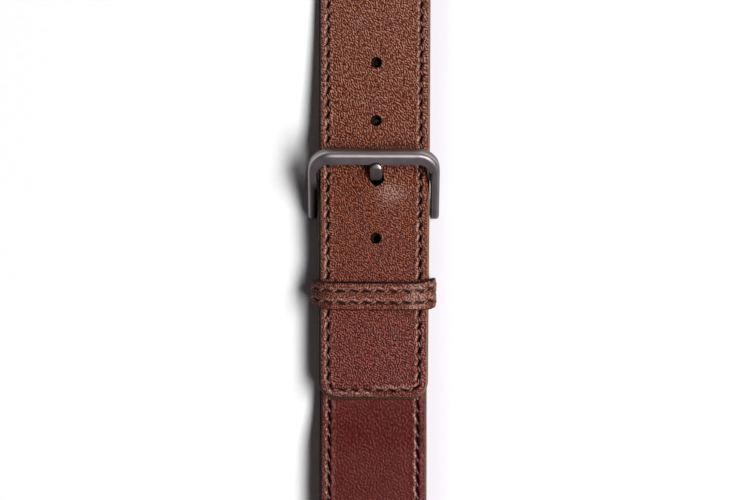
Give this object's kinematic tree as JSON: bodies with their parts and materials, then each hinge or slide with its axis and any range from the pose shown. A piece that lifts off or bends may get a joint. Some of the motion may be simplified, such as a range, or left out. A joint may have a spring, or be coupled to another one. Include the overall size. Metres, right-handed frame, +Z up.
{
  "type": "leather watch strap",
  "caption": "Buckled two-piece leather watch strap lying flat, with a sprung-bar pin buckle, a sliding keeper loop and a spring bar at each lug end.",
  "frame": {"origin": "middle of the bounding box on the table that the strap lies on", "axes": "+Y along the strap from the short strap's lug bar to the long strap's, +Z up, +X to the right with the long strap away from the viewer"},
  "size_m": [0.0228, 0.1632, 0.01],
  "materials": {
    "upper_leather": "grained leather with a soft sheen",
    "upper_leather_dark": "grained leather, darker towards the lug",
    "lining_leather": "smooth matte lining leather",
    "filler_board": "raw bonded leather",
    "gunmetal": "satin gunmetal plating",
    "spring_bar_steel": "drawn stainless steel",
    "spring_wire": "spring wire"
  },
  "bodies": {
    "strap": {"long_upper": "upper_leather", "long_lining": "lining_leather", "long_filler": "filler_board", "short_upper": "upper_leather_dark", "short_lining": "lining_leather", "short_filler": "filler_board"},
    "keeper": {"keeper_outer": "upper_leather", "keeper_lining": "lining_leather"},
    "buckle": {"buckle_frame": "gunmetal", "buckle_bar_tube": "spring_bar_steel", "buckle_bar_spring": "spring_wire"},
    "tongue": {"tongue": "gunmetal"},
    "buckle_pin_left": {"buckle_bar_pin_left": "spring_bar_steel"},
    "buckle_pin_right": {"buckle_bar_pin_right": "spring_bar_steel"},
    "long_bar": {"long_bar_tube": "spring_bar_steel", "long_bar_spring": "spring_wire"},
    "long_pin_left": {"long_bar_pin_left": "spring_bar_steel"},
    "long_pin_right": {"long_bar_pin_right": "spring_bar_steel"},
    "short_bar": {"short_bar_tube": "spring_bar_steel", "short_bar_spring": "spring_wire"},
    "short_pin_left": {"short_bar_pin_left": "spring_bar_steel"},
    "short_pin_right": {"short_bar_pin_right": "spring_bar_steel"}
  },
  "joints": [
    {"name": "keeper_slide", "type": "slide", "parent": "strap", "child": "keeper", "axis": [0, 1, 0], "range_m": [-0.0155, 0.005]},
    {"name": "buckle_hinge", "type": "hinge", "parent": "strap", "child": "buckle", "pos_m": [0, -0.0045, 0.00235], "axis": [1, 0, 0], "range_deg": [-1, 2]},
    {"name": "tongue_hinge", "type": "hinge", "parent": "buckle", "child": "tongue", "pos_m": [0, -0.0045, 0.00235], "axis": [1, 0, 0], "range_deg": [0, 1.5]},
    {"name": "buckle_pin_left_press", "type": "slide", "parent": "buckle", "child": "buckle_pin_left", "axis": [1, 0, 0], "range_m": [0, 0.00125], "stiffness_N_per_m": 400, "springref_m": -0.001, "deforming": ["buckle_bar_spring"]},
    {"name": "buckle_pin_right_press", "type": "slide", "parent": "buckle", "child": "buckle_pin_right", "axis": [-1, 0, 0], "range_m": [0, 0.00125], "stiffness_N_per_m": 400, "springref_m": -0.001},
    {"name": "long_bar_spin", "type": "hinge", "parent": "strap", "child": "long_bar", "pos_m": [0, 0.0795, 0.00206], "axis": [1, 0, 0], "continuous": true},
    {"name": "long_pin_left_press", "type": "slide", "parent": "long_bar", "child": "long_pin_left", "axis": [1, 0, 0], "range_m": [0, 0.00125], "stiffness_N_per_m": 400, "springref_m": -0.001, "deforming": ["long_bar_spring"]},
    {"name": "long_pin_right_press", "type": "slide", "parent": "long_bar", "child": "long_pin_right", "axis": [-1, 0, 0], "range_m": [0, 0.00125], "stiffness_N_per_m": 400, "springref_m": -0.001},
    {"name": "short_bar_spin", "type": "hinge", "parent": "strap", "child": "short_bar", "pos_m": [0, -0.0795, 0.00206], "axis": [1, 0, 0], "continuous": true},
    {"name": "short_pin_left_press", "type": "slide", "parent": "short_bar", "child": "short_pin_left", "axis": [1, 0, 0], "range_m": [0, 0.00125], "stiffness_N_per_m": 400, "springref_m": -0.001, "deforming": ["short_bar_spring"]},
    {"name": "short_pin_right_press", "type": "slide", "parent": "short_bar", "child": "short_pin_right", "axis": [-1, 0, 0], "range_m": [0, 0.00125], "stiffness_N_per_m": 400, "springref_m": -0.001}
  ]
}
